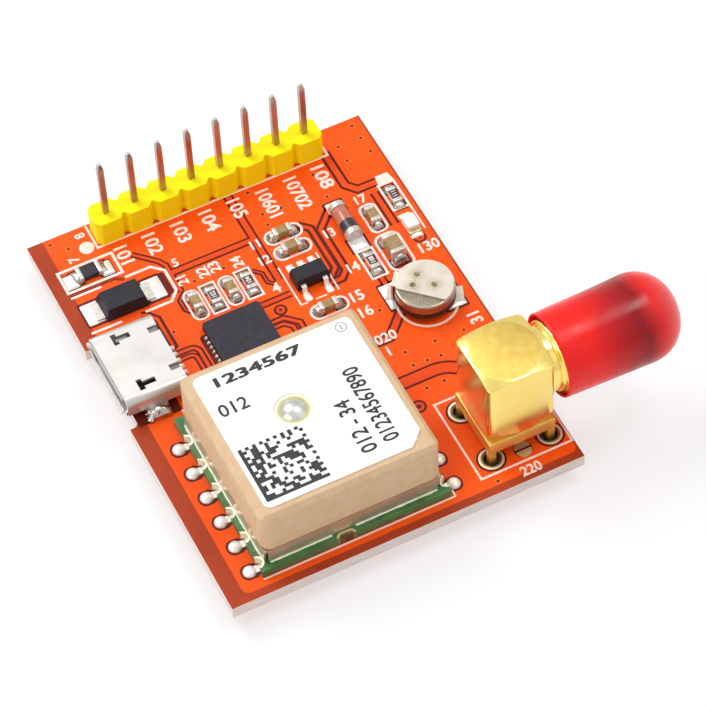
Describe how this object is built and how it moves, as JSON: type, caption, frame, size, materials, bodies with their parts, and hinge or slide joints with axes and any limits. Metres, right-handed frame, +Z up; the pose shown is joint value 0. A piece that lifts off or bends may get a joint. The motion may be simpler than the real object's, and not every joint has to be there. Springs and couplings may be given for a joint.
{
  "type": "gps receiver board",
  "caption": "Orange GPS receiver board with a ceramic patch antenna module, pin header, micro USB socket, backup cell and a right-angle antenna jack under a red dust cap.",
  "frame": {"origin": "middle of the circuit board's underside", "axes": "+Z up out of the board's component side, +X along the pin header towards the antenna jack's barrel, +Y towards the edge with the pin header"},
  "size_m": [0.0406, 0.039, 0.0128],
  "materials": {
    "solder_mask": "satin",
    "yellow_plastic": "satin",
    "pin_metal": "satin",
    "solder": "gloss",
    "green_mask": "satin",
    "tinned_sheet": "satin",
    "adhesive": "matte",
    "tan_ceramic": "matte",
    "silver_film": "satin",
    "label_paper": "satin",
    "black_resin": "matte",
    "gold_plate": "polished",
    "jack_gold": "gloss",
    "white_resin": "satin",
    "capacitor_ceramic": "matte",
    "resistor_film": "satin",
    "orange_glass": "polished",
    "lamp_resin": "satin",
    "cell_steel": "satin",
    "red_rubber": "satin"
  },
  "bodies": {
    "board": {"pcb": "solder_mask", "header_strip": "yellow_plastic", "header_pin_1": "pin_metal", "header_pin_2": "pin_metal", "header_pin_3": "pin_metal", "header_pin_4": "pin_metal", "header_pin_5": "pin_metal", "header_pin_6": "pin_metal", "header_pin_7": "pin_metal", "header_pin_8": "pin_metal", "header_solder": "solder", "module_board": "green_mask", "module_solder": "solder", "shield_can": "tinned_sheet", "patch_tape": "adhesive", "patch_ceramic": "tan_ceramic", "patch_electrode": "silver_film", "patch_label": "label_paper", "feed_pin": "silver_film", "receiver_chip": "black_resin", "crystal": "gold_plate", "antenna_filter": "capacitor_ceramic", "antenna_amplifier": "black_resin", "usb_shell": "tinned_sheet", "usb_insulator": "black_resin", "usb_contacts": "gold_plate", "diode_body": "black_resin", "diode_tabs": "solder", "row_capacitor_1": "capacitor_ceramic", "row_resistor_1": "resistor_film", "row_capacitor_2": "capacitor_ceramic", "row_resistor_2": "resistor_film", "supply_capacitor_1": "capacitor_ceramic", "supply_capacitor_2": "capacitor_ceramic", "supply_capacitor_3": "capacitor_ceramic", "cell_resistor": "resistor_film", "filter_capacitor": "capacitor_ceramic", "large_capacitor": "capacitor_ceramic", "lamp_resistor": "resistor_film", "chip_fuse": "resistor_film", "bridge_chip": "black_resin", "bridge_pads": "solder", "regulator_body": "black_resin", "regulator_leads": "solder", "glass_tube": "orange_glass", "glass_ends": "solder", "glass_die": "black_resin", "lamp": "lamp_resin", "coin_cell": "cell_steel", "cell_top_tab": "cell_steel", "cell_bottom_tab": "cell_steel", "jack_body": "jack_gold", "jack_barrel": "gold_plate", "jack_insulator": "white_resin", "jack_contact": "gold_plate", "jack_solder": "solder"},
    "cap": {"dust_cap": "red_rubber"}
  },
  "joints": [
    {"name": "cap_pull", "type": "slide", "parent": "board", "child": "cap", "axis": [1, 0, 0], "range_m": [0, 0.014]}
  ]
}
